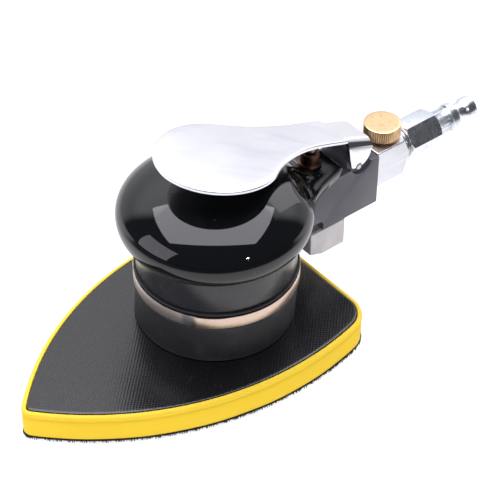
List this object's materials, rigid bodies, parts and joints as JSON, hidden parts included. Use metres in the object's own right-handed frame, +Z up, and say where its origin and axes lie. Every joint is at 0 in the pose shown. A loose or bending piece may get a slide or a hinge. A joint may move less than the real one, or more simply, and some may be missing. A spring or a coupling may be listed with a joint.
{
  "type": "detail mouse sander",
  "caption": "Air-driven palm sander with an iron-shaped yellow foam pad, a black palm dome, a polished throttle lever, a brass regulator knob and a plug for an air hose.",
  "frame": {"origin": "on the motor's axis at the face of the hook layer, where the abrasive sheet goes", "axes": "+X back along the handle to the air plug, +Y across, +Z up the motor's axis"},
  "size_m": [0.2197, 0.0902, 0.0894],
  "materials": {
    "black_casting": "satin black casting, fine grain",
    "gloss_black": "high gloss black",
    "rubber": "matt black rubber",
    "steel": "bright machined steel",
    "polished_steel": "polished plated steel",
    "aluminium": "brushed aluminium",
    "brass": "turned brass",
    "fibre_board": "woven fibre board with a low sheen",
    "yellow_foam": "fine closed-cell yellow foam",
    "hook_fabric": "black hook pile",
    "vane_composite": "laminated resin",
    "silencer_felt": "porous felt",
    "grey_plastic": "satin grey plastic"
  },
  "bodies": {
    "housing": {"motor_housing": "black_casting", "palm_grip": "gloss_black", "grip_screw": "steel", "boot_clamp": "steel", "rubber_boot": "rubber", "cylinder_liner": "steel", "upper_end_plate": "aluminium", "lower_end_plate": "aluminium", "upper_bearing_outer": "steel", "lower_bearing_outer": "steel", "lock_ring": "aluminium", "locating_pin": "steel", "inlet_block": "aluminium", "inlet_screen": "steel", "regulator_clip": "steel", "air_plug": "polished_steel", "plug_seal": "steel", "muffler_housing": "grey_plastic", "muffler_insert": "silencer_felt", "muffler_screw": "steel", "lever_pin": "steel", "valve_bushing": "brass", "valve_spring": "steel"},
    "crank": {"crank_shaft": "steel", "rotor": "steel", "rotor_key": "steel", "vane_1": "vane_composite", "vane_2": "vane_composite", "vane_3": "vane_composite", "vane_4": "vane_composite", "vane_5": "vane_composite", "shaft_clip": "steel", "crank_washer": "steel", "crank_screw": "steel", "upper_bearing_inner": "steel", "lower_bearing_inner": "steel", "pad_bearing_inner": "steel", "upper_bearing_balls": "steel", "lower_bearing_balls": "steel", "pad_bearing_balls": "steel"},
    "pad": {"pad_foam": "yellow_foam", "hook_facing": "hook_fabric", "pad_plate": "fibre_board", "pad_hub": "aluminium", "hub_screw_1": "steel", "hub_screw_2": "steel", "hub_screw_3": "steel", "hub_screw_4": "steel", "bearing_clip": "steel", "pad_bearing_outer": "steel"},
    "lever": {"throttle_lever": "polished_steel"},
    "valve": {"valve_stem": "steel", "valve_seal": "rubber"},
    "regulator": {"regulator_knob": "brass", "regulator_spool": "brass", "regulator_seal": "rubber"}
  },
  "joints": [
    {"name": "crank_spin", "type": "hinge", "parent": "housing", "child": "crank", "pos_m": [0, 0, 0.05], "axis": [0, 0, 1], "continuous": true, "deforming": ["rubber_boot"]},
    {"name": "pad_orbit", "type": "hinge", "parent": "crank", "child": "pad", "pos_m": [0, 0.00125, 0.02], "axis": [0, 0, 1], "continuous": true, "deforming": ["rubber_boot"]},
    {"name": "lever_swing", "type": "hinge", "parent": "housing", "child": "lever", "pos_m": [0.0617, 0, 0.0572], "axis": [0, 1, 0], "range_deg": [-6, 0], "stiffness_Nm_per_rad": 0.3, "springref_deg": 11.46, "deforming": ["valve_spring"]},
    {"name": "valve_slide", "type": "slide", "parent": "housing", "child": "valve", "axis": [0, 0, 1], "range_m": [-0.0018, 0], "deforming": ["valve_spring"]},
    {"name": "regulator_turn", "type": "hinge", "parent": "housing", "child": "regulator", "pos_m": [0.08206, 0, 0.05], "axis": [0, 0, 1], "range_deg": [0, 90]}
  ],
  "couplings": [
    {"joint": "pad_orbit", "follows": "crank_spin", "ratio": -1},
    {"joint": "valve_slide", "follows": "lever_swing", "m_per_rad": 0.0167}
  ]
}
